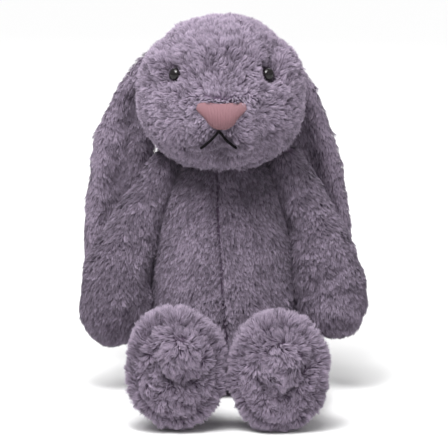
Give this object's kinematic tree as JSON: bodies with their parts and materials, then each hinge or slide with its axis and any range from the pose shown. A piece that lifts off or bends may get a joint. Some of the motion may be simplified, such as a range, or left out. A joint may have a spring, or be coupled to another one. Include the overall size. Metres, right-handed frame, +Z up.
{
  "type": "plush rabbit",
  "caption": "Seated plush rabbit with a round head, long hanging ears, dangling arms, outstretched legs with large upright feet, stitched nose and glossy eyes.",
  "frame": {"origin": "centre of the flat seat face the rabbit sits on", "axes": "+Z up, the face and feet point along -Y, +X towards a viewer's right"},
  "size_m": [0.177, 0.2083, 0.2319],
  "materials": {
    "plush": "dense pile, matte with a soft sheen",
    "tail_plush": "fluffy pile",
    "ear_lining": "short velour",
    "stuffing": "white fibre",
    "pouch_cloth": "plain cotton",
    "pellets": "small plastic beads",
    "label_tape": "smooth woven tape, blank",
    "nose_thread": "satin stitch",
    "mouth_thread": "twisted thread",
    "sewing_thread": "twisted thread",
    "eye_plastic": "glossy",
    "washer_plastic": "plain"
  },
  "bodies": {
    "torso": {"torso_panel_front_left": "plush", "torso_panel_front_right": "plush", "torso_panel_back_left": "plush", "torso_panel_back_right": "plush", "torso_seat_panel": "plush", "torso_stuffing": "stuffing", "pellet_pouch": "pouch_cloth", "pellet_fill": "pellets", "tail": "tail_plush", "care_label": "label_tape"},
    "neck": {"neck_stuffing": "stuffing", "neck_seam_thread": "sewing_thread"},
    "head": {"head_gusset": "plush", "head_side_left": "plush", "head_side_right": "plush", "head_chin_panel": "plush", "head_stuffing": "stuffing", "nose": "nose_thread", "mouth_thread": "mouth_thread", "eye_left": "eye_plastic", "eye_right": "eye_plastic", "eye_washer_left": "washer_plastic", "eye_washer_right": "washer_plastic"},
    "ear_left": {"ear_left_outer": "plush", "ear_left_lining": "ear_lining"},
    "ear_right": {"ear_right_outer": "plush", "ear_right_lining": "ear_lining"},
    "arm_left": {"arm_left_front_panel": "plush", "arm_left_back_panel": "plush", "arm_left_stuffing": "stuffing"},
    "arm_right": {"arm_right_front_panel": "plush", "arm_right_back_panel": "plush", "arm_right_stuffing": "stuffing"},
    "leg_left": {"leg_left_upper_panel": "plush", "leg_left_under_panel": "plush", "leg_left_stuffing": "stuffing"},
    "leg_right": {"leg_right_upper_panel": "plush", "leg_right_under_panel": "plush", "leg_right_stuffing": "stuffing"},
    "foot_left": {"foot_left_upper": "plush", "foot_left_sole": "plush", "foot_left_stuffing": "stuffing"},
    "foot_right": {"foot_right_upper": "plush", "foot_right_sole": "plush", "foot_right_stuffing": "stuffing"}
  },
  "joints": [
    {"name": "head_turn", "type": "hinge", "parent": "torso", "child": "neck", "pos_m": [0, 0, 0.145], "axis": [0, 0, 1], "range_deg": [-15, 15]},
    {"name": "head_nod", "type": "hinge", "parent": "neck", "child": "head", "pos_m": [0, 0, 0.145], "axis": [-1, 0, 0], "range_deg": [-12, 8]},
    {"name": "ear_left_lift", "type": "hinge", "parent": "head", "child": "ear_left", "pos_m": [-0.0445, 0.027, 0.2], "axis": [0, 1, 0], "range_deg": [0, 100]},
    {"name": "ear_right_lift", "type": "hinge", "parent": "head", "child": "ear_right", "pos_m": [0.0425, 0.028, 0.197], "axis": [0, -1, 0], "range_deg": [0, 100]},
    {"name": "arm_left_swing", "type": "hinge", "parent": "torso", "child": "arm_left", "pos_m": [-0.0425, -0.002, 0.136], "axis": [-1, 0, 0], "range_deg": [0, 90]},
    {"name": "arm_right_swing", "type": "hinge", "parent": "torso", "child": "arm_right", "pos_m": [0.0425, -0.002, 0.136], "axis": [-1, 0, 0], "range_deg": [0, 90]},
    {"name": "leg_left_swing", "type": "hinge", "parent": "torso", "child": "leg_left", "pos_m": [-0.0435, -0.049, 0.024], "axis": [-1, 0, 0], "range_deg": [-90, 20]},
    {"name": "leg_right_swing", "type": "hinge", "parent": "torso", "child": "leg_right", "pos_m": [0.0435, -0.049, 0.024], "axis": [-1, 0, 0], "range_deg": [-90, 20]},
    {"name": "foot_left_flex", "type": "hinge", "parent": "leg_left", "child": "foot_left", "pos_m": [-0.029, -0.096, 0.024], "axis": [-1, 0, 0], "range_deg": [-15, 15]},
    {"name": "foot_right_flex", "type": "hinge", "parent": "leg_right", "child": "foot_right", "pos_m": [0.036, -0.096, 0.024], "axis": [-1, 0, 0], "range_deg": [-15, 15]}
  ]
}
